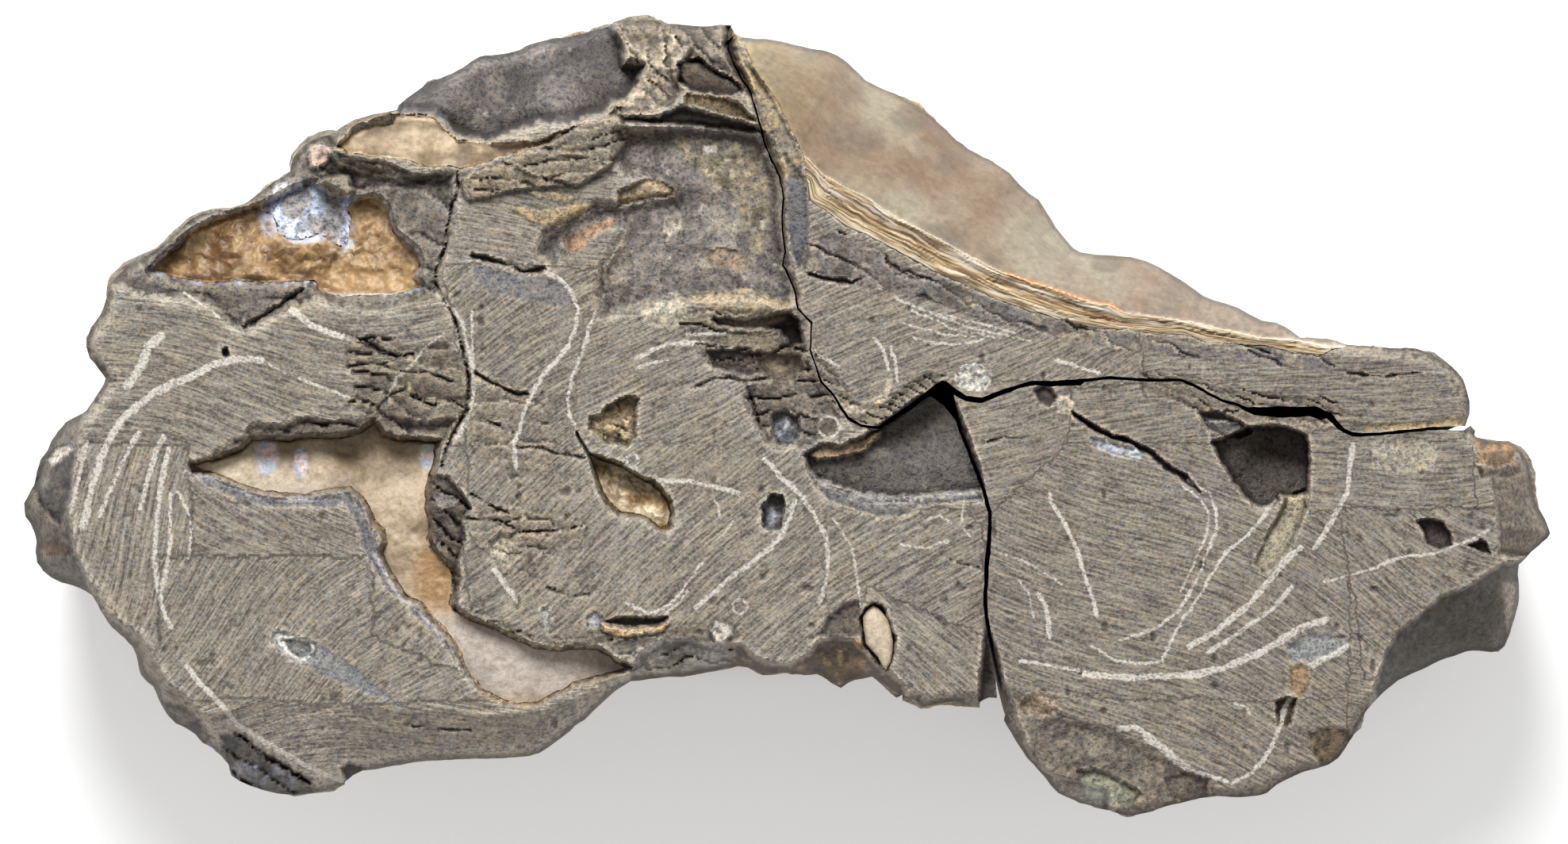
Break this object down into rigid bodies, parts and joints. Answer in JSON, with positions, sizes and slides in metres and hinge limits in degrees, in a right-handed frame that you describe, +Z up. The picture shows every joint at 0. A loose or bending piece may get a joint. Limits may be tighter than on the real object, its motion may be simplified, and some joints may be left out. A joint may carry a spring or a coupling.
{
  "type": "ammonite fossil in rock",
  "caption": "Broken piece of grey shelly rock with an ammonite's tan shell on one flank, a ground face, crystal-lined hollows and open cracks",
  "frame": {"origin": "middle of the box round the piece, on the surface it lies on", "axes": "+X along the length, to the right as the ground face is seen; +Y across it, towards the ribbed upper edge; +Z up, out of the ground face"},
  "size_m": [0.1014, 0.0528, 0.0282],
  "materials": {
    "grey_rock": "dull grey-brown limestone, ground in parallel strokes on the face, smooth and darker in the hollows",
    "tan_shell": "tan to golden layered fossil shell, satin",
    "orange_calcite": "orange-brown calcite crystals, slightly glassy",
    "pearly_lining": "cream shell lining with a faint pearly blue and green sheen"
  },
  "bodies": {
    "root": {"main_block": "grey_rock", "upper_right_block": "grey_rock", "lower_right_block": "grey_rock", "flank_shell": "tan_shell", "shell_flake": "tan_shell", "calcite_crust": "orange_calcite", "pit_crust": "orange_calcite", "nacre_lining": "pearly_lining", "bottom_flake": "pearly_lining"}
  },
  "joints": []
}
